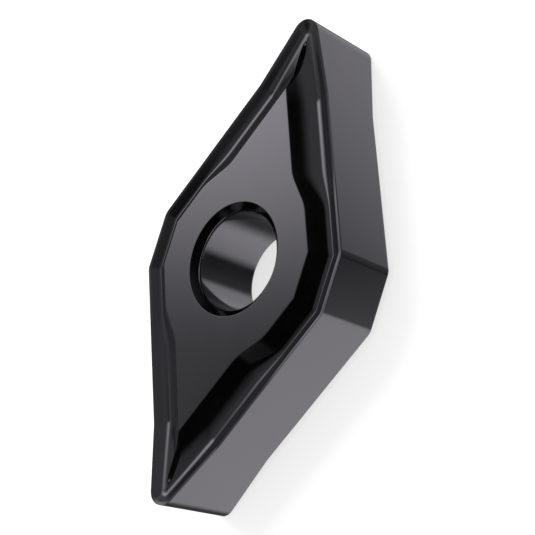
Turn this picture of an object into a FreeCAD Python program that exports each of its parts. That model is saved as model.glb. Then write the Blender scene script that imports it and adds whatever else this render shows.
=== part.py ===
"""Double-sided rhombic turning insert with moulded chip grooves and a central bore.

One sintered and coated carbide body, lying on its lower seat face. Millimetres, +Z up.
The origin is on the lower seat, under the middle of the bore, and +X runs along the
long diagonal. The model is worked out about its middle plane: the grooves are cut in
one quarter of the upper face and mirrored to the others and to the lower face.
"""
import FreeCAD
import Part
import math
import os
from FreeCAD import Vector

# Outline seen from above
INSCRIBED_DIAMETER = 12.70
NOSE_ANGLE = 55.0
NOSE_RADIUS = 0.88
CORNER_FLAT_LENGTH = 3.11
THICKNESS = 4.76

# Bore for a clamping pin, with a flared mouth on each face
BORE_DIAMETER = 5.16
MOUTH_WIDENING = 0.38
MOUTH_DEPTH = 0.34

# How far the cutting edge lies below the seat face, and its rounding
EDGE_DROP_AT_FLAT = 0.41
EDGE_DROP_AT_KINK = 0.52
EDGE_DROP_AT_NOSE = 0.11
NOSE_RISE_LENGTH = 3.58
EDGE_HONE_RADIUS = 0.06

# Chip groove: its level floor, measured inward and downward from the cutting edge
RAMP_WIDTH_BY_FLAT = 0.62
RAMP_WIDTH_BY_FLANK = 0.73
FLOOR_DEPTH_BY_FLAT = 0.31
FLOOR_DEPTH_BY_FLANK = 0.275
FLOOR_DEPTH_AT_NOSE = 0.15
FLOOR_WIDTH_BY_FLAT = 0.09
FLOOR_WIDTH_BY_FLANK = 0.22
NOSE_PIT_RADIUS = 0.28

# Gentle back slope behind the floor, up to the foot of the steep seat wall
BACK_WIDTH_BY_FLAT = 0.08
BACK_WIDTH_BY_FLANK = 0.65
BACK_SLOPE = 21.0

# Raised seat land: its distance from the edge, and the shoulder between
SEAT_INSET_BY_FLAT = 1.60
SEAT_INSET_BY_FLANK = 2.20
SHOULDER_START = 2.50
SHOULDER_LENGTH = 2.50

# Rib along the long diagonal, from the point of the seat land to the nose pit
RIB_DROP = 0.21
RIB_CREST_RADIUS = 0.10
RIB_SIDE_ANGLE = 52.0
RIB_RUNOUT = 0.65
RIB_END_GAP = 0.12

# Sections used along the curved shoulder, and reach of the cutters past what they cut
SHOULDER_SECTIONS = 7
REACH = 1.0

HALF_ANGLE = math.radians(NOSE_ANGLE / 2)
SIN_HALF = math.sin(HALF_ANGLE)
COS_HALF = math.cos(HALF_ANGLE)
INSCRIBED_RADIUS = INSCRIBED_DIAMETER / 2
SEAT_Z = THICKNESS / 2

# Obtuse corner: the sharp point of flat and flank, and the arc that rounds it about
# the place where the seat wall starts
CORNER_X = CORNER_FLAT_LENGTH / 2
CORNER_Y = INSCRIBED_RADIUS / COS_HALF - CORNER_X * math.tan(HALF_ANGLE)
CORNER_RADIUS = RAMP_WIDTH_BY_FLAT + FLOOR_WIDTH_BY_FLAT + BACK_WIDTH_BY_FLAT
CORNER_TANGENT = CORNER_RADIUS * math.tan(HALF_ANGLE / 2)
CORNER_CENTRE = Vector(CORNER_X - CORNER_TANGENT, CORNER_Y - CORNER_RADIUS, 0)

# Nose: the centre of its arc, and places along the flank measured from the corner
NOSE_CENTRE = Vector((INSCRIBED_RADIUS - NOSE_RADIUS) / SIN_HALF, 0, 0)
APEX_X = NOSE_CENTRE.x + NOSE_RADIUS
NOSE_TANGENT_S = (NOSE_CENTRE.x + NOSE_RADIUS * SIN_HALF - CORNER_X) / COS_HALF
KINK_S = (APEX_X - NOSE_RISE_LENGTH - CORNER_X) / COS_HALF
EDGE_RISE = (EDGE_DROP_AT_KINK - EDGE_DROP_AT_NOSE) / NOSE_RISE_LENGTH

# Level of the edge and of the groove floor at the nose centre, on the rising slope
NOSE_EDGE_Z = SEAT_Z - EDGE_DROP_AT_NOSE - EDGE_RISE * NOSE_RADIUS
NOSE_FLOOR_Z = NOSE_EDGE_Z - FLOOR_DEPTH_AT_NOSE

UP = Vector(0, 0, 1)
MIRROR_X = Vector(1, 0, 0)
MIRROR_Y = Vector(0, 1, 0)


def between(start, end, share):
    """Value at a share of the way from start to end."""
    return start + (end - start) * share


def shoulder_share(s):
    """How far the shoulder has turned at s: 0 beside the flat, 1 beside the flank."""
    share = min(max((s - SHOULDER_START) / SHOULDER_LENGTH, 0.0), 1.0)
    return share * share * (3 - 2 * share)


def with_mirror(shapes, normal):
    """The shapes and their mirror images in the middle plane square to normal."""
    return shapes + [shape.mirror(Vector(), normal) for shape in shapes]


def flank_place(s):
    """Places insets and heights on the plane that stands across the flank at s."""
    def place(inset, z):
        x = CORNER_X + s * COS_HALF - inset * SIN_HALF
        return Vector(x, CORNER_Y - s * SIN_HALF - inset * COS_HALF, z)
    return place


def flat_place(x):
    """Places insets and heights on the plane that stands across the flat at x."""
    def place(inset, z):
        return Vector(x, CORNER_Y - inset, z)
    return place


def rising(level_shape):
    """The shape sheared upward along +X, so that what was level follows the nose's rise."""
    shear = FreeCAD.Matrix()
    shear.A31 = EDGE_RISE
    shear.A34 = -EDGE_RISE * NOSE_CENTRE.x
    return level_shape.transformGeometry(shear)


def hone_points(edge_z, ramp_slope):
    """Start, middle and end of the arc that rounds the edge between flank and ramp."""
    angle = math.atan(ramp_slope)
    tangent = EDGE_HONE_RADIUS / math.tan((math.pi / 2 - angle) / 2)
    diagonal = math.hypot(EDGE_HONE_RADIUS, tangent)
    nearer = EDGE_HONE_RADIUS / diagonal
    start = (0.0, edge_z - tangent)
    middle = (EDGE_HONE_RADIUS * (1 - nearer), edge_z - tangent * (1 - nearer))
    end = (tangent * math.cos(angle), edge_z - tangent * math.sin(angle))
    return start, middle, end


def cut_wire(place, edge_z, ramp_slope, inner_points):
    """Closed section of what is cut away: hone, ramp, inner points, then over the top."""
    start, middle, end = (place(*point) for point in hone_points(edge_z, ramp_slope))
    outside = place(-REACH, start.z)
    inner = [place(*point) for point in inner_points]
    above = place(-REACH, inner_points[-1][1])
    path = Part.makePolygon([end] + inner + [above, outside, start])
    return Part.Wire([Part.Arc(start, middle, end).toShape()] + path.Edges)


def groove_points(floor_z, ramp, floor, back, back_angle, seat_inset):
    """Inset and height of the floor, of the wall foot and of the wall carried upward."""
    foot_inset = ramp + floor + back
    foot_z = floor_z + back * math.tan(math.radians(back_angle))
    lean = (seat_inset - foot_inset) / (SEAT_Z - foot_z)
    above = (seat_inset + lean * REACH, SEAT_Z + REACH)
    return [(ramp, floor_z), (ramp + floor, floor_z), (foot_inset, foot_z), above]


def groove_wire(place, s):
    """Groove section at s along the flank, up to the kink of the edge."""
    share = shoulder_share(s)
    fall = (s - CORNER_TANGENT) / (KINK_S - CORNER_TANGENT)
    edge_z = SEAT_Z - between(EDGE_DROP_AT_FLAT, EDGE_DROP_AT_KINK, fall)
    ramp = between(RAMP_WIDTH_BY_FLAT, RAMP_WIDTH_BY_FLANK, share)
    depth = between(FLOOR_DEPTH_BY_FLAT, FLOOR_DEPTH_BY_FLANK, share)
    floor = between(FLOOR_WIDTH_BY_FLAT, FLOOR_WIDTH_BY_FLANK, share)
    back = between(BACK_WIDTH_BY_FLAT, BACK_WIDTH_BY_FLANK, share)
    seat_inset = between(SEAT_INSET_BY_FLAT, SEAT_INSET_BY_FLANK, share)
    points = groove_points(edge_z - depth, ramp, floor, back, BACK_SLOPE, seat_inset)
    return cut_wire(place, edge_z, depth / ramp, points)


def nose_end_wire():
    """Groove section across the flank where it meets the nose arc."""
    ramp = NOSE_RADIUS - NOSE_PIT_RADIUS
    points = groove_points(
        NOSE_FLOOR_Z, ramp, NOSE_PIT_RADIUS, BACK_WIDTH_BY_FLANK, 0.0, SEAT_INSET_BY_FLANK
    )
    slope = FLOOR_DEPTH_AT_NOSE / ramp
    return rising(cut_wire(flank_place(NOSE_TANGENT_S), NOSE_EDGE_Z, slope, points))


def turned_groove(centre, radius, edge_z, ramp, depth, last_points, start_angle, sweep):
    """Groove turned round an upright axis at centre, through sweep degrees."""
    def place(inset, z):
        return centre + Vector(radius - inset, 0, z)
    wire = cut_wire(place, edge_z, depth / ramp, [(ramp, edge_z - depth)] + last_points)
    wire.rotate(centre, UP, start_angle)
    return Part.Face(wire).revolve(centre, UP, sweep)


def corner_groove():
    """Groove round the arc between a flat and a flank."""
    edge_z = SEAT_Z - EDGE_DROP_AT_FLAT
    floor_z = edge_z - FLOOR_DEPTH_BY_FLAT
    floor_end = RAMP_WIDTH_BY_FLAT + FLOOR_WIDTH_BY_FLAT
    foot_z = floor_z + BACK_WIDTH_BY_FLAT * math.tan(math.radians(BACK_SLOPE))
    last = [(floor_end, floor_z), (CORNER_RADIUS, foot_z), (CORNER_RADIUS, SEAT_Z + REACH)]
    turn = NOSE_ANGLE / 2
    return turned_groove(
        CORNER_CENTRE, CORNER_RADIUS, edge_z, RAMP_WIDTH_BY_FLAT, FLOOR_DEPTH_BY_FLAT,
        last, 90 - turn, turn
    )


def nose_groove():
    """Groove round the nose, its edge rising to the apex."""
    ramp = NOSE_RADIUS - NOSE_PIT_RADIUS
    last = [(NOSE_RADIUS, NOSE_FLOOR_Z), (NOSE_RADIUS, SEAT_Z + REACH)]
    turn = 180 - NOSE_ANGLE
    return rising(turned_groove(
        NOSE_CENTRE, NOSE_RADIUS, NOSE_EDGE_Z, ramp, FLOOR_DEPTH_AT_NOSE, last, -turn / 2, turn
    ))


def flat_groove():
    """Groove along the flat across an obtuse corner, as at the start of the flank."""
    ends = (-CORNER_CENTRE.x, CORNER_CENTRE.x)
    return Part.makeLoft([groove_wire(flat_place(x), CORNER_TANGENT) for x in ends], True, True)


def flank_grooves():
    """Groove along one flank, in three lengths: to the shoulder, past it, to the nose."""
    step = SHOULDER_LENGTH / (SHOULDER_SECTIONS - 1)
    bends = [SHOULDER_START + step * i for i in range(SHOULDER_SECTIONS)]
    places = [CORNER_TANGENT] + bends + [KINK_S]
    wires = [groove_wire(flank_place(s), s) for s in places] + [nose_end_wire()]
    this_side = Part.makeBox(APEX_X, INSCRIBED_DIAMETER, SEAT_Z + 2 * REACH)
    return [
        Part.makeLoft(wires[:2], True, True),
        Part.makeLoft(wires[1:-2], True, False),
        Part.makeLoft(wires[-3:], True, True).common(this_side),
    ]


def rib_wire(x, crest_z):
    """Section of the rib at x: leaning sides that meet in a round crest."""
    lean = math.radians(RIB_SIDE_ANGLE)
    side_y = RIB_CREST_RADIUS * math.sin(lean)
    side_z = crest_z - RIB_CREST_RADIUS * (1 - math.cos(lean))
    foot_y = side_y + REACH / math.tan(lean)
    left, right = (Vector(x, y, side_z) for y in (side_y, -side_y))
    crest = Part.Arc(left, Vector(x, 0, crest_z), right).toShape()
    feet = [Vector(x, y, side_z - REACH) for y in (-foot_y, foot_y)]
    return Part.Wire([crest] + Part.makePolygon([right] + feet + [left]).Edges)


def rib():
    """Rib from the point of the seat land, level and then down into the nose pit."""
    start_x = (INSCRIBED_RADIUS - SEAT_INSET_BY_FLANK) / SIN_HALF
    end_x = NOSE_CENTRE.x - RIB_END_GAP
    crest_z = SEAT_Z - RIB_DROP
    end_z = NOSE_FLOOR_Z - EDGE_RISE * RIB_END_GAP - RIB_CREST_RADIUS
    places = [(start_x, crest_z), (end_x - RIB_RUNOUT, crest_z), (end_x, end_z)]
    return Part.makeLoft([rib_wire(x, z) for x, z in places], True, True)


def outline_arc(centre, radius, first, middle, last):
    """Arc of the outline through three directions, in degrees from +X."""
    angles = [math.radians(angle) for angle in (first, middle, last)]
    points = [centre + Vector(math.cos(a), math.sin(a), 0) * radius for a in angles]
    return Part.Arc(*points).toShape()


def blank():
    """Prism with the full outline, before its faces are grooved."""
    flank_direction = 90 - NOSE_ANGLE / 2
    corner_middle = (90 + flank_direction) / 2
    corner = outline_arc(CORNER_CENTRE, CORNER_RADIUS, 90, corner_middle, flank_direction)
    nose = outline_arc(NOSE_CENTRE, NOSE_RADIUS, flank_direction, flank_direction / 2, 0)
    flank = Part.makeLine(corner.Vertexes[-1].Point, nose.Vertexes[0].Point)
    flat = Part.makeLine(Vector(0, CORNER_Y, 0), corner.Vertexes[0].Point)
    edges = with_mirror(with_mirror([flat, corner, flank, nose], MIRROR_X), MIRROR_Y)
    outline = Part.Wire(Part.__sortEdges__(edges))
    outline.translate(Vector(0, 0, -SEAT_Z))
    return Part.Face(outline).extrude(UP * THICKNESS)


def bore():
    """Bore with a conical flare at each face, as the shape to be cut away."""
    bore_r = BORE_DIAMETER / 2
    flared_r = bore_r + MOUTH_WIDENING * (1 + REACH / MOUTH_DEPTH)
    upper = [(0, SEAT_Z + REACH), (flared_r, SEAT_Z + REACH), (bore_r, SEAT_Z - MOUTH_DEPTH)]
    points = upper + [(r, -z) for r, z in reversed(upper)]
    section = Part.makePolygon([Vector(r, 0, z) for r, z in points + points[:1]])
    return Part.Face(section).revolve(Vector(), UP, 360)


def insert_body():
    """The whole insert, standing on its lower seat."""
    grooves = with_mirror(flank_grooves() + [corner_groove()], MIRROR_X) + [flat_groove()]
    grooves = with_mirror(grooves, MIRROR_Y) + with_mirror([nose_groove()], MIRROR_X)
    ribs = with_mirror(with_mirror([rib()], MIRROR_X), UP)
    body = blank().cut(with_mirror(grooves, UP)).fuse(ribs).cut(bore())
    body = body.removeSplitter().Solids[0]
    body.translate(UP * SEAT_Z)
    return body


os.makedirs("parts", exist_ok=True)
insert = insert_body()
print("insert valid", insert.isValid(), "volume mm3", round(insert.Volume, 3))
insert.exportStep("parts/insert.step")
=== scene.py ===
"""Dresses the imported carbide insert: a fine mesh of its moulded chip grooves, coating and studio.

The insert lies on its lower seat. Lengths are in millimetres until a mesh is made, and
heights are measured from the middle plane of the insert until then, because both faces
are the same.
"""

import logging
import math
from dataclasses import dataclass
from enum import Enum

import bmesh
import bpy
import numpy as np
from mathutils import Matrix, Vector

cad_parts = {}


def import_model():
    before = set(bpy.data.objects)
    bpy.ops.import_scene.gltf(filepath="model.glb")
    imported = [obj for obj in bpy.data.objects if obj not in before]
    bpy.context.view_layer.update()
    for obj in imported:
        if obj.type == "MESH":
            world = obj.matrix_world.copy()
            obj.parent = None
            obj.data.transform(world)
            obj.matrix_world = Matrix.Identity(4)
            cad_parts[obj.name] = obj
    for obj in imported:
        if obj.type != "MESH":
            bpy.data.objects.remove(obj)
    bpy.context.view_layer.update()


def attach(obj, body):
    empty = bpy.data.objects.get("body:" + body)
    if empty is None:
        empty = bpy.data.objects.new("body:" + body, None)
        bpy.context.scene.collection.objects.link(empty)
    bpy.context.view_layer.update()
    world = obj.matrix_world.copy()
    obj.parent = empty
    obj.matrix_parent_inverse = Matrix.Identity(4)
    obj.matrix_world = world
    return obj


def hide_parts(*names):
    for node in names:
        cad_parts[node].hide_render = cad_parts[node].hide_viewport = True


MM = 0.001
MERGE = 0.0002 * MM
LOG = logging.getLogger("insert")


def linear(hex_colour: str) -> tuple[float, float, float, float]:
    """Turns an sRGB hex colour to the linear values that a shader socket takes.

    Args:
        hex_colour: Six hex digits, such as "d8d8da".

    Returns:
        Red, green, blue and an alpha of 1.
    """
    srgb = [int(hex_colour[i:i + 2], 16) / 255 for i in (0, 2, 4)]
    plain = [c / 12.92 if c <= 0.04045 else ((c + 0.055) / 1.055) ** 2.4 for c in srgb]
    return (plain[0], plain[1], plain[2], 1.0)


def bend(u: np.ndarray, half_width: np.ndarray | float) -> np.ndarray:
    """Rounded step in slope: 0 before the bend, u after it, and a parabola between.

    The parabola is (u + w) squared over 4 w, for u from -w to w, which meets both lines
    without a corner.

    Args:
        u: Distance past the bend.
        half_width: Half the length w over which the slope turns.

    Returns:
        The rise for a slope that grows by 1 at the bend.
    """
    return np.where(u > half_width, u, np.clip(u + half_width, 0, None) ** 2 / (4 * half_width))


def smooth_share(u: np.ndarray) -> np.ndarray:
    """Share from 0 to 1 that starts and ends level: 3 u squared minus 2 u cubed."""
    u = np.clip(u, 0, 1)
    return u * u * (3 - 2 * u)


@dataclass(frozen=True)
class Stations:
    """Lines that run inward from the outline, one row of the groove's mesh each.

    Attributes:
        base: Where each line starts, on the outline.
        inward: Its direction, up to the depth of the corner's centre.
        slant: Its direction past that depth.
        along: Its place along the flank.
        drift: How much that place grows for each length past that depth.
        reach: The inset at which it ends.
    """

    base: np.ndarray
    inward: np.ndarray
    slant: np.ndarray
    along: np.ndarray
    drift: np.ndarray
    reach: np.ndarray


@dataclass(frozen=True)
class Outline:
    """The rhombic outline seen from above, with round noses and flattened corners."""

    inscribed_diameter: float = 12.70
    nose_angle: float = 55.0
    nose_radius: float = 0.88
    corner_flat: float = 3.11
    corner_radius: float = 0.79
    thickness: float = 4.76

    @property
    def half_angle(self) -> float:
        """Half the angle between the two flanks of a nose, in radians."""
        return math.radians(self.nose_angle / 2)

    @property
    def sin(self) -> float:
        """Sine of half the nose's angle."""
        return math.sin(self.half_angle)

    @property
    def cos(self) -> float:
        """Cosine of half the nose's angle."""
        return math.cos(self.half_angle)

    @property
    def mitre(self) -> float:
        """How far the mitre of an obtuse corner leans, for each length inward."""
        return math.tan(self.half_angle / 2)

    @property
    def seat_z(self) -> float:
        """Height of the seat land above the middle plane."""
        return self.thickness / 2

    @property
    def corner_x(self) -> float:
        """Where the lines of flat and flank cross, along the long diagonal."""
        return self.corner_flat / 2

    @property
    def corner_y(self) -> float:
        """Where the lines of flat and flank cross, across the long diagonal."""
        return (self.inscribed_diameter / 2 / self.cos
                - self.corner_x * math.tan(self.half_angle))

    @property
    def corner_s(self) -> float:
        """Length that the corner's arc takes off either line."""
        return self.corner_radius * self.mitre

    @property
    def nose_x(self) -> float:
        """Where the centre of the nose's arc lies on the long diagonal."""
        return (self.inscribed_diameter / 2 - self.nose_radius) / self.sin

    @property
    def tip_s(self) -> float:
        """Length of the flank's line, up to the nose's arc."""
        return (self.nose_x + self.nose_radius * self.sin - self.corner_x) / self.cos

    def to_flank(self, x: np.ndarray, y: np.ndarray) -> tuple[np.ndarray, np.ndarray]:
        """Finds how far along the flank, and how far inside the outline, points lie.

        Past the flank's end the distance inside is counted from the nose's arc.

        Args:
            x: Places along the long diagonal.
            y: Places across it; both sides are alike.

        Returns:
            The distance along the flank, at most its end, and the inset.
        """
        across = np.abs(y) - self.corner_y
        s = (x - self.corner_x) * self.cos - across * self.sin
        inset = -(x - self.corner_x) * self.sin - across * self.cos
        from_nose = self.nose_radius - np.hypot(x - self.nose_x, y)
        return np.minimum(s, self.tip_s), np.where(s > self.tip_s, from_nose, inset)


@dataclass(frozen=True)
class Along:
    """A size that changes along the flank: beside the flat, beside the flank, at the nose."""

    by_flat: float
    by_flank: float
    at_nose: float

    def at(self, share: np.ndarray, past: np.ndarray) -> np.ndarray:
        """Mixes the three values by how far the shoulder has turned and the nose is near."""
        return (self.by_flat + (self.by_flank - self.by_flat) * share
                + (self.at_nose - self.by_flank) * past)


@dataclass(frozen=True)
class ChipGroove:
    """Moulded groove inside the cutting edge, with the rounded edge and the seat wall."""

    outline: Outline
    drop_by_flat: float = 0.46
    drop_at_kink: float = 0.51
    drop_at_nose: float = 0.09
    rise_length: float = 3.58
    hone_run: float = 0.012
    hone_fall: Along = Along(0.14, 0.06, 0.02)
    land: Along = Along(0.16, 0.17, 0.18)
    land_slope: Along = Along(0.08, 0.26, 0.26)
    ramp: Along = Along(0.59, 0.65, 0.55)
    depth: Along = Along(0.265, 0.28, 0.18)
    floor: Along = Along(0.11, 0.33, 0.22)
    back: Along = Along(0.18, 0.62, 0.74)
    back_slope: Along = Along(0.35, 0.35, 0.11)
    seat_inset: Along = Along(1.60, 2.20, 2.20)
    shoulder_start: float = 2.85
    shoulder_length: float = 1.80
    shoulder_bend: float = 0.35
    kink_width: float = 0.10
    land_bend: Along = Along(0.03, 0.010, 0.02)
    foot_bend: Along = Along(0.07, 0.22, 0.12)
    floor_bend: Along = Along(0.035, 0.10, 0.08)
    wall_bend: Along = Along(0.05, 0.24, 0.24)
    border_bend: float = 0.02
    border_margin: float = 0.05
    level_start: float = 0.45
    edge_gap: float = 0.02
    least_gap: float = 0.01
    knee_rows: tuple[int, ...] = (3, 7, 5, 7, 5)
    hone_rows: int = 9

    @property
    def rise(self) -> float:
        """How much the edge rises for each length along the long diagonal."""
        return (self.drop_at_kink - self.drop_at_nose) / self.rise_length

    @property
    def kink_s(self) -> float:
        """Where along the flank the edge stops falling and starts to rise to the nose."""
        o = self.outline
        return (o.nose_x + o.nose_radius - self.rise_length - o.corner_x) / o.cos

    def shares(self, s: np.ndarray) -> tuple[np.ndarray, np.ndarray]:
        """How far the shoulder has turned at s, and how far s is from kink to nose."""
        from_start = s - self.shoulder_start
        turned = (bend(from_start, self.shoulder_bend)
                  - bend(from_start - self.shoulder_length, self.shoulder_bend))
        share = turned / self.shoulder_length
        past = bend(s - self.kink_s, self.kink_width) / (self.outline.tip_s - self.kink_s)
        return share, past

    def edge_height(self, s: np.ndarray) -> np.ndarray:
        """Height of the sharp edge: falls slowly from the flat, then rises past the kink."""
        fall = (self.drop_at_kink - self.drop_by_flat) / (self.kink_s - self.level_start)
        up = self.rise * self.outline.cos + fall
        level = self.outline.seat_z - self.drop_by_flat
        return (level - fall * np.clip(s - self.level_start, 0, None)
                + up * bend(s - self.kink_s, self.kink_width))

    def knees(self, s: np.ndarray) -> tuple[list[np.ndarray], list[np.ndarray]]:
        """Where the section bends at s, before rounding.

        Args:
            s: Places along the flank.

        Returns:
            The insets, and the heights, of the edge, the inner side of its land, both
            sides of the floor, the foot of the seat wall and the seat's border.
        """
        o = self.outline
        share, past = self.shares(s)
        edge = self.edge_height(s)
        land, land_slope, ramp, floor, back, slope, depth, seat = (
            size.at(share, past) for size in
            (self.land, self.land_slope, self.ramp, self.floor, self.back, self.back_slope,
             self.depth, self.seat_inset)
        )
        insets = [np.zeros_like(s), land, ramp, ramp + floor, ramp + floor + back, seat]
        tilt = self.rise * o.sin * past
        low = edge - depth
        heights = [edge, edge - land_slope * land - tilt * land, low - tilt * ramp,
                   low - tilt * insets[3], low + back * slope - tilt * insets[4],
                   np.full_like(s, o.seat_z)]
        return insets, heights

    def bends(self, s: np.ndarray) -> list[np.ndarray]:
        """Half-widths of the rounding at each knee past the edge."""
        share, past = self.shares(s)
        widths = [size.at(share, past) for size in
                  (self.land_bend, self.foot_bend, self.floor_bend, self.wall_bend)]
        return [*widths, np.full_like(s, self.border_bend)]

    def height(self, inset: np.ndarray, s: np.ndarray, x: np.ndarray) -> np.ndarray:
        """Height of the upper face at an inset from the outline.

        The section is a chain of straight lines whose knees are parabolas, so the height
        is the edge's, plus the first slope times the inset, plus each change of slope
        times its rounded step. On the nose the turned section is tilted to follow the
        rising edge: the height grows with the distance past the flank's last section.

        Args:
            inset: Distances inside the outline.
            s: Places along the flank.
            x: Places along the long diagonal.

        Returns:
            Heights above the middle plane.
        """
        o = self.outline
        insets, heights = self.knees(s)
        slopes = [(heights[k + 1] - heights[k]) / (insets[k + 1] - insets[k]) for k in range(5)]
        z = heights[0] + slopes[0] * inset
        for k, half_width in enumerate(self.bends(s), start=1):
            after = slopes[k] if k < 5 else 0.0
            z = z + (after - slopes[k - 1]) * bend(inset - insets[k], half_width)
        last_line = o.corner_x + s * o.cos - inset * o.sin
        on_nose = s > o.tip_s - 1e-9
        return z + np.where(on_nose, self.rise * (x - last_line), 0.0)

    def rows(self, s: np.ndarray) -> np.ndarray:
        """Insets of the mesh's rows past the rounded edge: close together at each knee."""
        insets, _ = self.knees(s)
        widths = self.bends(s)
        hone = self.hone(s)[0][:, -1]
        first = insets[1] - widths[0]
        rows = [hone + self.edge_gap, (hone + first) / 2]
        for k, count in enumerate(self.knee_rows):
            start = np.maximum(insets[k + 1] - widths[k], rows[-1] + self.least_gap)
            rows += [start + (insets[k + 1] + widths[k] - start) * step
                     for step in np.linspace(0, 1, count)]
            if k in (2, 3):
                rows.append((rows[-1] + insets[k + 2] - widths[k + 1]) / 2)
        return np.stack(rows + [rows[-1] + self.border_margin], axis=1)

    def hone(self, s: np.ndarray) -> tuple[np.ndarray, np.ndarray]:
        """Rounded cutting edge: a parabola that touches the flank and the edge's land.

        With u from 0 to 1 the inset is u squared times the run on the land. The drop below
        the sharp edge is (1 - u) squared times the fall on the flank, plus u squared times
        the drop of the run on the land.

        Args:
            s: Places along the flank.

        Returns:
            Insets, and heights above the land carried outward, one row for each place.
        """
        fall = self.hone_fall.at(*self.shares(s))[:, None]
        u = np.linspace(0, 1, self.hone_rows)[None, :]
        return self.hone_run * u ** 2 + 0 * fall, -fall * (1 - u) ** 2


@dataclass(frozen=True)
class NoseRib:
    """Narrow rib on the long diagonal, from the seat's point down into the nose pit."""

    crest_z: float = 2.18
    seat_point_x: float = 9.05
    from_seat: tuple[float, float, float] = (9.80, 0.20, 0.15)
    to_pit: tuple[float, float, float] = (11.00, 0.12, 0.10)
    into_pit: tuple[float, float, float] = (11.45, 0.60, 0.10)
    side_slope: float = 1.73
    crest_width: float = 0.035
    foot_blend: float = 0.04

    def height(self, x: np.ndarray, y: np.ndarray) -> np.ndarray:
        """Height of the rib: its crest's, less a hyperbola across it.

        The crest falls from the seat, runs level, and falls twice towards the pit, with
        each change of slope rounded. The sides fall by slope times (root of (y squared
        plus a squared) less a).
        """
        start, near, far = self.from_seat, self.to_pit, self.into_pit
        above = bend(start[0] - x, start[2]) - bend(self.seat_point_x - x, start[2])
        crest = (self.crest_z + start[1] * above
                 - near[1] * bend(x - near[0], near[2]) - far[1] * bend(x - far[0], far[2]))
        return crest - self.side_slope * (np.hypot(y, self.crest_width) - self.crest_width)

    def over(self, z: np.ndarray, x: np.ndarray, y: np.ndarray) -> np.ndarray:
        """The higher of surface and rib, with a round foot: both plus a share where near."""
        rib = self.height(x, y)
        near = np.clip(self.foot_blend - np.abs(z - rib), 0, None)
        return np.maximum(z, rib) + near ** 2 / (4 * self.foot_blend)


@dataclass(frozen=True)
class Bore:
    """Clamping bore with a flared mouth, whose two edges are slightly rounded."""

    radius: float = 2.58
    mouth_radius: float = 2.96
    mouth_depth: float = 0.34
    outer_round: float = 0.004
    inner_round: float = 0.10
    margin: float = 0.05
    segments: int = 48
    round_rows: int = 7

    def profile(self, seat_z: float) -> tuple[np.ndarray, np.ndarray]:
        """Radius and height from the seat land into the bore, down to the middle plane.

        Each rounded corner is a parabola between points at its own distance from the
        corner on either line: (1 - u) squared A + 2 u (1 - u) corner + u squared B.

        Args:
            seat_z: Height of the seat land.

        Returns:
            The radii and the heights.
        """
        corners = np.array([
            [self.mouth_radius + self.outer_round + self.margin, seat_z],
            [self.mouth_radius, seat_z],
            [self.radius, seat_z - self.mouth_depth],
            [self.radius, 0.0],
        ])
        points = [corners[:1]]
        u = np.linspace(0, 1, self.round_rows)[:, None]
        for k, size in ((1, self.outer_round), (2, self.inner_round)):
            before, after = corners[k - 1] - corners[k], corners[k + 1] - corners[k]
            a = corners[k] + before * size / np.hypot(*before)
            b = corners[k] + after * size / np.hypot(*after)
            points.append((1 - u) ** 2 * a + 2 * u * (1 - u) * corners[k] + u ** 2 * b)
        points.append(points[-1][-1:] - [0, self.margin])
        points.append(corners[3:])
        line = np.concatenate(points)
        return line[:, 0], line[:, 1]


class Patches:
    """Collects the grids of one eighth of the insert and turns them into its whole mesh."""

    def __init__(self) -> None:
        """Starts with no grid."""
        self.points: list[np.ndarray] = []
        self.quads: list[np.ndarray] = []
        self.triangles: list[np.ndarray] = []
        self.count = 0

    def add_points(self, points: np.ndarray) -> int:
        """Keeps points and returns the number of the first one."""
        first = self.count
        self.points.append(points.reshape(-1, 3))
        self.count += len(self.points[-1])
        return first

    def grid(self, x: np.ndarray, y: np.ndarray, z: np.ndarray) -> None:
        """Adds a grid of points whose neighbours are joined by four-sided faces."""
        rows, columns = x.shape
        first = self.add_points(np.stack([x, y, z], axis=-1))
        number = first + np.arange(rows * columns).reshape(rows, columns)
        corners = (number[:-1, :-1], number[1:, :-1], number[1:, 1:], number[:-1, 1:])
        self.quads.append(np.stack(corners, axis=-1).reshape(-1, 4))

    def join_rows(self, outer: np.ndarray, inner: np.ndarray) -> None:
        """Joins two rows of points that turn the same way round the middle.

        In the order of their directions, each point closes a triangle with the point
        before it on its own row and the latest point of the other row.
        """
        first, second = self.add_points(outer), self.add_points(inner)
        out_turn, in_turn = (np.arctan2(p[:, 1], p[:, 0]) for p in (outer, inner))
        k, m = np.arange(1, len(outer)), np.arange(1, len(inner))
        in_before = np.searchsorted(in_turn[1:], out_turn[1:], side="left")
        out_before = np.searchsorted(out_turn[1:], in_turn[1:], side="right")
        self.triangles += [
            np.stack([first + k - 1, first + k, second + in_before], axis=-1),
            np.stack([first + out_before, second + m, second + m - 1], axis=-1),
        ]

    def whole(self, name: str, lift: float) -> bpy.types.Object:
        """Mirrors the eighth to all eight and makes one closed mesh.

        Args:
            name: Name of the object.
            lift: How far the middle plane lies above the origin.

        Returns:
            The object, in metres, with its place in its mesh.
        """
        points = np.concatenate(self.points)
        quads, triangles = np.concatenate(self.quads), np.concatenate(self.triangles)
        everything, fours, threes = [], [], []
        signs = [(sx, sy, sz) for sx in (1, -1) for sy in (1, -1) for sz in (1, -1)]
        for copy, sign in enumerate(signs):
            everything.append(points * sign + [0, 0, lift])
            turned = slice(None, None, -1 if math.prod(sign) < 0 else 1)
            fours.append(quads[:, turned] + copy * len(points))
            threes.append(triangles[:, turned] + copy * len(points))
        mesh = bpy.data.meshes.new(name)
        faces = np.concatenate(fours).tolist() + np.concatenate(threes).tolist()
        mesh.from_pydata(np.concatenate(everything) * MM, [], faces)
        return closed_object(name, mesh)


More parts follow.
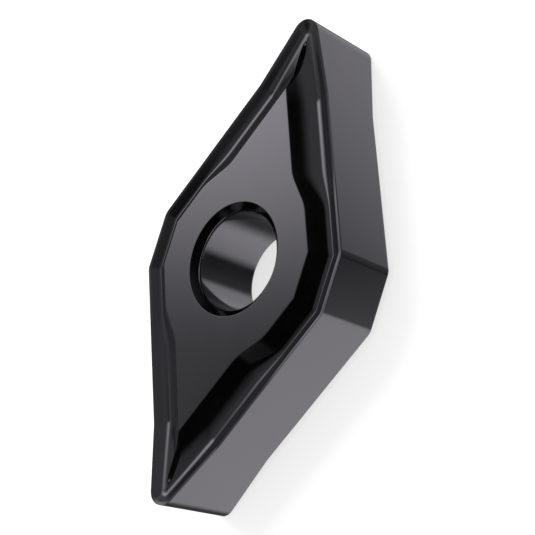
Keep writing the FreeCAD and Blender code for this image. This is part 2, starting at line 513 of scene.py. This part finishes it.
def closed_object(name: str, mesh: bpy.types.Mesh) -> bpy.types.Object:
    """Merges the points that patches share, turns faces outward and shades smoothly."""
    work = bmesh.new()
    work.from_mesh(mesh)
    bmesh.ops.remove_doubles(work, verts=work.verts, dist=MERGE)
    bmesh.ops.dissolve_degenerate(work, dist=MERGE / 10, edges=work.edges)
    bmesh.ops.recalc_face_normals(work, faces=work.faces)
    work.to_mesh(mesh)
    work.free()
    mesh.shade_smooth()
    piece = bpy.data.objects.new(name, mesh)
    bpy.context.scene.collection.objects.link(piece)
    return piece


@dataclass(frozen=True)
class InsertBody:
    """The whole insert: outline, grooves, ribs and bore in one closed mesh."""

    outline: Outline
    groove: ChipGroove
    rib: NoseRib = NoseRib()
    bore: Bore = Bore()
    pit_radius: float = 0.28
    mitre_length: float = 2.00
    wall_margin: float = 0.04
    finest: float = 0.03
    coarsest: float = 0.08
    shoulder_step: float = 0.06
    search_steps: int = 1500
    flat_shares: tuple[float, ...] = (0, 0.25, 0.5, 0.75, 0.9, 0.975)
    after_corner: tuple[float, ...] = (0.03, 0.3, 0.8, 1.4, 1.9)
    corner_stations: int = 8
    strip_rows: int = 17
    cap_columns: int = 8

    @property
    def strip_y(self) -> float:
        """Half the width of the strip of mesh that runs along the rib."""
        return self.pit_radius * self.outline.cos

    def strip_steps(self) -> np.ndarray:
        """Distances of the strip's rows from the long diagonal, outermost first."""
        return np.linspace(self.strip_y, 0, self.strip_rows)

    def on_flat(self) -> Stations:
        """Stations along half a flat: square to it, but past the corner's centre they
        close up in step, so that the rows end on the corner's mitre."""
        o = self.outline
        end = o.corner_x - o.corner_s
        x = end * np.array(self.flat_shares)
        zero, one = np.zeros_like(x), np.ones_like(x)
        return Stations(
            base=np.stack([x, o.corner_y * one], axis=1), inward=np.stack([zero, -one], axis=1),
            slant=np.stack([-o.mitre * x / end, -one], axis=1), along=o.corner_s * one,
            drift=zero, reach=self.far(x))

    def on_corner(self) -> Stations:
        """Stations round the corner's arc, which all meet at its centre and then share
        the mitre."""
        o = self.outline
        half = o.half_angle
        turn = math.pi / 2 - np.linspace(0, half, self.corner_stations)
        ray = np.stack([np.cos(turn), np.sin(turn)], axis=1)
        centre = np.array([o.corner_x - o.corner_s, o.corner_y - o.corner_radius])
        middle = math.pi / 2 - half / 2
        mitre = -np.array([math.cos(middle), math.sin(middle)]) / math.cos(half / 2)
        one = np.ones_like(turn)
        return Stations(
            base=centre + o.corner_radius * ray, inward=-ray, slant=one[:, None] * mitre,
            along=o.corner_s * one, drift=o.mitre * one, reach=self.far(turn))

    def on_flank(self) -> Stations:
        """Stations along a flank, square to it but for the mitre's closing up, each as
        long as the strip along the rib leaves room for."""
        o = self.outline
        s = self.flank_places()
        along, inward = np.array([o.cos, -o.sin]), np.array([-o.sin, -o.cos])
        drift = o.mitre * np.clip(1 - (s - o.corner_s) / self.mitre_length, 0, 1)
        one = np.ones((len(s), 1))
        return Stations(
            base=np.array([o.corner_x, o.corner_y]) + s[:, None] * along, inward=one * inward,
            slant=inward + drift[:, None] * along, along=s, drift=drift, reach=self.room(s))

    def on_nose(self) -> Stations:
        """Stations round the nose's arc, each ending where a row of the strip's cap does:
        the sine of its direction is that row's distance over the pit's radius."""
        o = self.outline
        turn = np.arcsin(np.clip(self.strip_steps()[1:] / self.pit_radius, 0, 1))
        ray = np.stack([np.cos(turn), np.sin(turn)], axis=1)
        one = np.ones_like(turn)
        return Stations(
            base=np.array([o.nose_x, 0]) + o.nose_radius * ray, inward=-ray, slant=-ray,
            along=o.tip_s * one, drift=0 * one,
            reach=(o.nose_radius - self.pit_radius) * one)

    @staticmethod
    def far(like: np.ndarray) -> np.ndarray:
        """A reach past every row, for stations that nothing shortens."""
        return np.full_like(like, np.inf)

    def room(self, s: np.ndarray) -> np.ndarray:
        """Inset at which the station at s meets the strip along the rib."""
        o = self.outline
        return (o.corner_y - s * o.sin - self.strip_y) / o.cos

    def flank_places(self) -> np.ndarray:
        """Places of the stations along a flank.

        They are close where the shoulder and the kink bend. Past the seat's border there
        is one where each row of the mesh meets the strip, found where the row's inset
        equals the room, so that every crease runs on without a step.
        """
        o, groove = self.outline, self.groove
        plain = o.corner_s + np.array(self.after_corner)
        shoulder = groove.shoulder_start + np.arange(
            -groove.shoulder_bend,
            groove.shoulder_length + groove.shoulder_bend + self.shoulder_step / 2,
            self.shoulder_step)
        kink = groove.kink_s + groove.kink_width * np.linspace(-1, 1, 7)
        flank = np.linspace(shoulder[-1] + 0.3, kink[0] - 0.2, 6)
        s = np.linspace(kink[-1], o.tip_s, self.search_steps)
        gap = self.room(s)[:, None] - groove.rows(s)
        ends = [np.interp(0, -gap[:, j], s) for j in range(gap.shape[1]) if gap[-1, j] < 0]
        ends = np.sort(np.array(ends + [o.tip_s]))
        ends = ends[np.append(np.diff(ends) > self.finest / 2, True)]
        fill = [np.linspace(a, b, int((b - a) / self.coarsest) + 2)[:-1]
                for a, b in zip(ends[:-1], ends[1:])]
        lead = np.linspace(kink[-1], ends[0], 4)[1:-1]
        return np.concatenate([plain, shoulder, flank, kink, lead, *fill, ends[-1:]])

    def build(self, name: str) -> bpy.types.Object:
        """Works out one eighth of the insert and mirrors it to the rest.

        Args:
            name: Name of the object.

        Returns:
            The closed mesh as an object.
        """
        o, groove = self.outline, self.groove
        parts = [self.on_flat(), self.on_corner(), self.on_flank(), self.on_nose()]
        base, inward, slant, s, drift, reach = (
            np.concatenate([getattr(part, size) for part in parts])
            for size in ("base", "inward", "slant", "along", "drift", "reach"))
        rim, above_ramp = groove.hone(s)
        inset = np.minimum(np.concatenate([rim, groove.rows(s)], axis=1), reach[:, None])
        past = np.clip(inset - o.corner_radius, 0, None)
        place = (base[:, None] + (inset - past)[..., None] * inward[:, None]
                 + past[..., None] * slant[:, None])
        x, y = place[..., 0], place[..., 1]
        z = groove.height(inset, s[:, None] + past * drift[:, None], x)
        z[:, :rim.shape[1]] += above_ramp

        patches = Patches()
        patches.grid(x, y, z)
        wall_z = np.stack([z[:, 0], z[:, 0] - self.wall_margin, 0 * s], axis=1)
        column = np.ones((1, 3))
        patches.grid(x[:, :1] * column, y[:, :1] * column, wall_z)

        first = np.argmax(reach <= groove.rows(s)[:, -1] + 1e-6)
        last = len(s) - len(self.on_nose().along)
        strip = self.strip(x[first:last, -1])
        patches.grid(*strip)
        patches.grid(*self.cap(x[last - 1, -1]))

        border = np.concatenate([
            np.stack(strip, axis=-1)[0, ::-1],
            np.stack([x, y, z], axis=-1)[first - 1::-1, -1]])
        turn = np.linspace(0, math.pi / 2, self.bore.segments + 1)
        radius, level = self.bore.profile(o.seat_z)
        mouth = np.stack([np.cos(turn) * radius[0], np.sin(turn) * radius[0],
                          np.full_like(turn, o.seat_z)], axis=1)
        patches.join_rows(border, mouth)
        ring = np.ones((len(turn), 1))
        patches.grid(np.cos(turn)[:, None] * radius, np.sin(turn)[:, None] * radius, ring * level)
        return patches.whole(name, o.seat_z)

    def surface(self, x: np.ndarray, y: np.ndarray) -> np.ndarray:
        """Height of the upper face near the long diagonal, with the rib on it."""
        s, inset = self.outline.to_flank(x, y)
        return self.rib.over(self.groove.height(inset, s, x), x, y)

    def strip(self, edge_x: np.ndarray) -> tuple[np.ndarray, np.ndarray, np.ndarray]:
        """Grid along the rib: its columns start as chevrons along the seat's border and
        become square to the diagonal towards the nose.

        Args:
            edge_x: Where the flank's stations meet the strip's edge.

        Returns:
            The grid's x, y and z.
        """
        y = np.broadcast_to(self.strip_steps(), (len(edge_x), len(self.strip_steps())))
        share = (edge_x - edge_x[0]) / (edge_x[-1] - edge_x[0])
        chevron = (1 - smooth_share(share)) / math.tan(self.outline.half_angle)
        x = edge_x[:, None] + chevron[:, None] * (self.strip_y - y)
        return x, y, self.surface(x, y)

    def cap(self, start_x: float) -> tuple[np.ndarray, np.ndarray, np.ndarray]:
        """Grid that fills the nose pit, from the strip's last column to the pit's arc."""
        y = self.strip_steps()[None, :]
        arc = self.outline.nose_x + np.sqrt(np.clip(self.pit_radius ** 2 - y ** 2, 0, None))
        x = start_x + (arc - start_x) * np.linspace(0, 1, self.cap_columns)[:, None]
        y = np.broadcast_to(y, x.shape)
        return x, y, self.surface(x, y)


@dataclass(frozen=True)
class PhotoCamera:
    """Camera that looks down on the insert as the photograph does.

    Its place, directions and focal length are a least-squares fit to the outline.
    """

    eye: tuple[float, float, float] = (-4.068, -49.237, 53.075)
    forward: tuple[float, float, float] = (0.06020, 0.69403, -0.71742)
    up: tuple[float, float, float] = (0.95315, 0.17348, 0.24781)
    sensor: float = 36.0
    focal_in_frames: float = 1384.892 / 535

    def build(self) -> bpy.types.Object:
        """Makes the camera, puts it at the eye and makes it the scene's."""
        camera = bpy.data.cameras.new("photo_camera")
        camera.sensor_width = self.sensor
        camera.lens = self.sensor * self.focal_in_frames
        camera.clip_start, camera.clip_end = 1 * MM, 10_000 * MM
        holder = bpy.data.objects.new("photo_camera", camera)
        back = -np.array(self.forward)
        right = np.cross(self.up, back)
        right /= np.linalg.norm(right)
        back /= np.linalg.norm(back)
        turn = Matrix(np.stack([right, np.cross(back, right), back], axis=1).tolist()).to_4x4()
        holder.matrix_world = Matrix.Translation(np.array(self.eye) * MM) @ turn
        bpy.context.scene.collection.objects.link(holder)
        bpy.context.scene.camera = holder
        return holder


class Graph:
    """Node tree of a material or the world, with one way to add a node."""

    def __init__(self, tree: bpy.types.NodeTree) -> None:
        """Empties the tree."""
        tree.nodes.clear()
        self.tree = tree

    def add(self, kind: str, inputs: dict | None = None, **settings: object) -> bpy.types.Node:
        """Adds a node.

        Args:
            kind: Type of the node.
            inputs: What goes into its sockets, by name or number: a value or an output.
            settings: Properties of the node.

        Returns:
            The node.
        """
        node = self.tree.nodes.new(kind)
        for name, value in settings.items():
            setattr(node, name, value)
        for socket, value in (inputs or {}).items():
            if isinstance(value, bpy.types.NodeSocket):
                self.tree.links.new(value, node.inputs[socket])
            else:
                node.inputs[socket].default_value = value
        return node

    def math(self, operation: str, *values: object) -> bpy.types.NodeSocket:
        """Adds one step of arithmetic and returns its result."""
        return self.add("ShaderNodeMath", dict(enumerate(values)), operation=operation).outputs[0]


@dataclass(frozen=True)
class CoatedCarbide:
    """Cemented carbide, pressed and sintered, with a thin dark vapour-deposited coating.

    The coating reflects about a fifth of the light as a metal does and scatters none, so
    the eye sees a near-black body with clear, slightly violet reflections. The sintered
    grain under it softens them unevenly.
    """

    reflectance: str = "7c7a80"
    roughness: float = 0.10
    roughness_range: float = 0.03
    grain_mm: float = 0.05
    cloud_mm: float = 1.6
    grain_height_mm: float = 0.0006

    def build(self, name: str) -> bpy.types.Material:
        """Makes the material.

        Args:
            name: Name of the material.

        Returns:
            A metal whose roughness and fine grain vary with Object coordinates.
        """
        material = bpy.data.materials.new(name)
        material.use_nodes = True
        graph = Graph(material.node_tree)
        place = graph.add("ShaderNodeTexCoord").outputs["Object"]
        clouds = graph.add("ShaderNodeTexNoise", {
            "Vector": place, "Scale": 1 / (self.cloud_mm * MM), "Detail": 3.0, "Roughness": 0.55})
        grain = graph.add("ShaderNodeTexNoise", {
            "Vector": place, "Scale": 1 / (self.grain_mm * MM), "Detail": 2.0, "Roughness": 0.6})
        rough = graph.add("ShaderNodeMapRange", {
            "Value": clouds.outputs["Fac"], "From Min": 0.3, "From Max": 0.7,
            "To Min": self.roughness - self.roughness_range / 2,
            "To Max": self.roughness + self.roughness_range / 2})
        bump = graph.add("ShaderNodeBump", {
            "Height": grain.outputs["Fac"], "Strength": 1.0,
            "Distance": self.grain_height_mm * MM})
        shader = graph.add("ShaderNodeBsdfPrincipled", {
            "Base Color": linear(self.reflectance), "Metallic": 1.0,
            "Roughness": rough.outputs["Result"], "Normal": bump.outputs["Normal"]})
        graph.add("ShaderNodeOutputMaterial", {"Surface": shader.outputs["BSDF"]})
        return material


class PanelShape(Enum):
    """Outline of a light that the metal reflects."""

    SQUARE = "square"
    ROUND = "round"


@dataclass(frozen=True)
class Panel:
    """Soft-edged light, far away, as the metal's reflections show it.

    Azimuth (from +x towards +y), elevation, roll, width and height are in degrees. Each
    edge fades over a distance on either side of it, counted on a panel one length away.
    A round panel is as wide as it is high, and its one fade is an angle in radians.
    """

    azimuth: float
    elevation: float
    width: float
    height: float
    strength: float
    fade: tuple[float, float]
    roll: float = 0.0
    shape: PanelShape = PanelShape.SQUARE

    def axes(self) -> np.ndarray:
        """The panel's middle, right and up directions, turned by its roll."""
        turn, rise, roll = (math.radians(a) for a in (self.azimuth, self.elevation, self.roll))
        middle = np.array(
            [math.cos(turn) * math.cos(rise), math.sin(turn) * math.cos(rise), math.sin(rise)])
        right = np.array([-math.sin(turn), math.cos(turn), 0.0])
        up = np.cross(middle, right)
        return np.stack([middle, math.cos(roll) * right + math.sin(roll) * up,
                         math.cos(roll) * up - math.sin(roll) * right])

    def glow(self, graph: Graph, direction: bpy.types.NodeSocket) -> bpy.types.NodeSocket:
        """Adds the panel's light for the direction that is looked in.

        The direction is split along the panel's middle, right and up. On a square panel
        right over middle, and up over middle, are places one length away. On a round one
        the angle from the middle is the place. The light fades across the half-width and
        the half-height.

        Args:
            graph: The world's nodes.
            direction: Output that holds the direction.

        Returns:
            The panel's light.
        """
        ahead, across, above = (
            graph.add("ShaderNodeVectorMath", {0: direction, 1: axis},
                      operation="DOT_PRODUCT").outputs["Value"] for axis in self.axes().tolist())
        if self.shape is PanelShape.ROUND:
            places = [(graph.math("ARCCOSINE", ahead), math.radians(self.width / 2))]
            light: object = self.strength
        else:
            places = [(graph.math("ABSOLUTE", graph.math("DIVIDE", part, ahead)),
                       math.tan(math.radians(size / 2)))
                      for part, size in ((across, self.width), (above, self.height))]
            light = graph.math("MULTIPLY", graph.math("GREATER_THAN", ahead, 0.0), self.strength)
        for (place, half), fade in zip(places, self.fade):
            edge = graph.add("ShaderNodeMapRange", {
                "Value": place, "From Min": half + fade, "From Max": half - fade,
                "To Min": 0.0, "To Max": 1.0}, interpolation_type="SMOOTHSTEP")
            light = graph.math("MULTIPLY", light, edge.outputs["Result"])
        return light


@dataclass(frozen=True)
class Studio:
    """Pale floor, a soft lamp, and the panels that the dark metal reflects.

    To the camera the floor is mostly white of its own, which leaves a soft shadow. Rays
    that leave the metal for the second time see one even grey.

    The strip beside the key light, both round lights high up and the three lights from
    below hold the rounded result of a least-squares fit to the photograph's brightness,
    and so do the key light's strength, height and fades, and the wide fade of the fill
    behind. The rest was set one by one.
    """

    second_glance: float = 0.25
    second_depth: float = 2.5
    floor_half_m: float = 2.0
    floor_gap_mm: float = 0.01
    paper: str = "f4f4f4"
    paper_glow: float = 0.7
    panels: tuple[Panel, ...] = (
        # Key light behind and above, with a narrow strip beside it.
        Panel(73.5, 38.5, 17.0, 17.5, 1.24, (0.11, 0.25), roll=22.0),
        Panel(106.5, 39.0, 4.0, 42.5, 0.09, (0.14, 0.05)),
        # Soft lights high up, right and left.
        Panel(44.0, 62.5, 61.5, 61.5, 0.145, (0.42, 0.0), shape=PanelShape.ROUND),
        Panel(130.5, 62.0, 20.0, 20.0, 0.07, (0.04, 0.0), shape=PanelShape.ROUND),
        # Fill behind, down to the horizon.
        Panel(75.0, 30.0, 64.0, 36.0, 0.13, (0.24, 0.08)),
        Panel(125.0, 38.0, 30.0, 30.0, 0.03, (0.20, 0.0), shape=PanelShape.ROUND),
        Panel(88.0, 0.0, 46.0, 46.0, 0.035, (0.25, 0.0), shape=PanelShape.ROUND),
        # Faint glow on the left, which the groove's shoulder shows.
        Panel(-176.0, 33.0, 6.0, 6.0, 0.08, (0.18, 0.0), shape=PanelShape.ROUND),
        # Light from below, which the flanks show: left, right and straight down.
        Panel(-136.0, -55.0, 48.0, 52.5, 0.84, (0.21, 0.38), roll=-33.0),
        Panel(3.0, -30.5, 40.5, 60.0, 0.55, (0.13, 0.10), roll=4.5),
        Panel(0.0, -75.0, 69.0, 69.0, 0.20, (0.37, 0.0), shape=PanelShape.ROUND),
        # The pale floor in front, behind, and behind on the left.
        Panel(-86.0, -14.5, 100.0, 53.0, 0.60, (0.20, 0.03)),
        Panel(85.0, -38.0, 46.0, 44.0, 0.80, (0.12, 0.12)),
        Panel(160.0, -46.0, 60.0, 40.0, 0.10, (0.15, 0.15)),
        # Grey band along the horizon, for the other sides.
        Panel(-140.0, 15.0, 56.0, 26.0, 0.36, (0.15, 0.05)),
        Panel(-42.0, 13.0, 34.0, 26.0, 0.36, (0.12, 0.05)),
        Panel(-172.0, -8.0, 60.0, 34.0, 0.28, (0.20, 0.08)),
        Panel(140.0, -14.0, 70.0, 30.0, 0.28, (0.20, 0.05)),
        Panel(38.0, -15.0, 44.0, 26.0, 0.28, (0.15, 0.03)),
        Panel(-20.0, 0.0, 36.0, 24.0, 0.28, (0.15, 0.05)),
        Panel(135.0, 27.0, 50.0, 14.0, 0.08, (0.15, 0.03)),
    )

    def build(self) -> None:
        """Makes the world, the floor and the lamp."""
        self.world()
        self.floor()
        self.lamp("key_lamp", place=(0.25, 0.45, 0.60), size=0.5, watts=9.0)

    def world(self) -> None:
        """White to the camera; to the metal, a dim room with its panels."""
        world = bpy.data.worlds.new("studio_world")
        bpy.context.scene.world = world
        world.use_nodes = True
        graph = Graph(world.node_tree)
        direction = graph.add("ShaderNodeTexCoord").outputs["Generated"]
        light: object = 0.0
        for panel in self.panels:
            light = graph.math("ADD", light, panel.glow(graph, direction))
        ray = graph.add("ShaderNodeLightPath")
        again = graph.math("GREATER_THAN", ray.outputs["Ray Depth"], self.second_depth)
        light = graph.add("ShaderNodeMix", {0: again, 2: light, 3: self.second_glance}).outputs[0]
        white = linear("ffffff")
        room = graph.add("ShaderNodeBackground", {"Color": white, "Strength": light})
        plain = graph.add("ShaderNodeBackground", {"Color": white, "Strength": 1.0})
        dome = graph.add("ShaderNodeMixShader", {
            0: ray.outputs["Is Glossy Ray"], 1: plain.outputs[0], 2: room.outputs[0]})
        graph.add("ShaderNodeOutputWorld", {"Surface": dome.outputs[0]})

    def floor(self) -> None:
        """A pale sheet under the insert, white to the camera but for a soft shadow."""
        mesh = bpy.data.meshes.new("floor")
        half, below = self.floor_half_m, -self.floor_gap_mm * MM
        corners = [(x * half, y * half, below) for x, y in ((-1, -1), (1, -1), (1, 1), (-1, 1))]
        mesh.from_pydata(corners, [], [(0, 1, 2, 3)])
        sheet = bpy.data.objects.new("floor", mesh)
        bpy.context.scene.collection.objects.link(sheet)
        sheet.visible_glossy = False
        material = bpy.data.materials.new("pale_paper")
        material.use_nodes = True
        graph = Graph(material.node_tree)
        ray = graph.add("ShaderNodeLightPath")
        paper = graph.add("ShaderNodeBsdfDiffuse", {"Color": linear(self.paper)})
        white = graph.add("ShaderNodeEmission", {"Strength": 1.0})
        seen = graph.math("MULTIPLY", ray.outputs["Is Camera Ray"], self.paper_glow)
        both = graph.add("ShaderNodeMixShader", {0: seen, 1: paper.outputs[0], 2: white.outputs[0]})
        graph.add("ShaderNodeOutputMaterial", {"Surface": both.outputs[0]})
        mesh.materials.append(material)

    def lamp(self, name: str, place: tuple[float, float, float], size: float,
             watts: float) -> None:
        """Adds a square soft lamp that looks at the insert and that the metal doesn't show."""
        light = bpy.data.lights.new(name, "AREA")
        light.size, light.energy = size, watts
        holder = bpy.data.objects.new(name, light)
        holder.location = place
        holder.rotation_euler = Vector(place).to_track_quat("Z", "Y").to_euler()
        holder.visible_glossy = False
        bpy.context.scene.collection.objects.link(holder)


def main() -> None:
    """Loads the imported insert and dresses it."""
    logging.basicConfig(level=logging.INFO, format="%(name)s: %(message)s")
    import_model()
    PhotoCamera().build()
    Studio().build()
    outline = Outline()
    body = InsertBody(outline, ChipGroove(outline)).build("insert_body")
    body.data.materials.append(CoatedCarbide().build("coated_carbide"))
    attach(body, "root")
    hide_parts("insert")
    LOG.info("%s: %d faces", body.name, len(body.data.polygons))
    bpy.context.scene.view_settings.view_transform = "Standard"


if __name__ == "__main__":
    main()
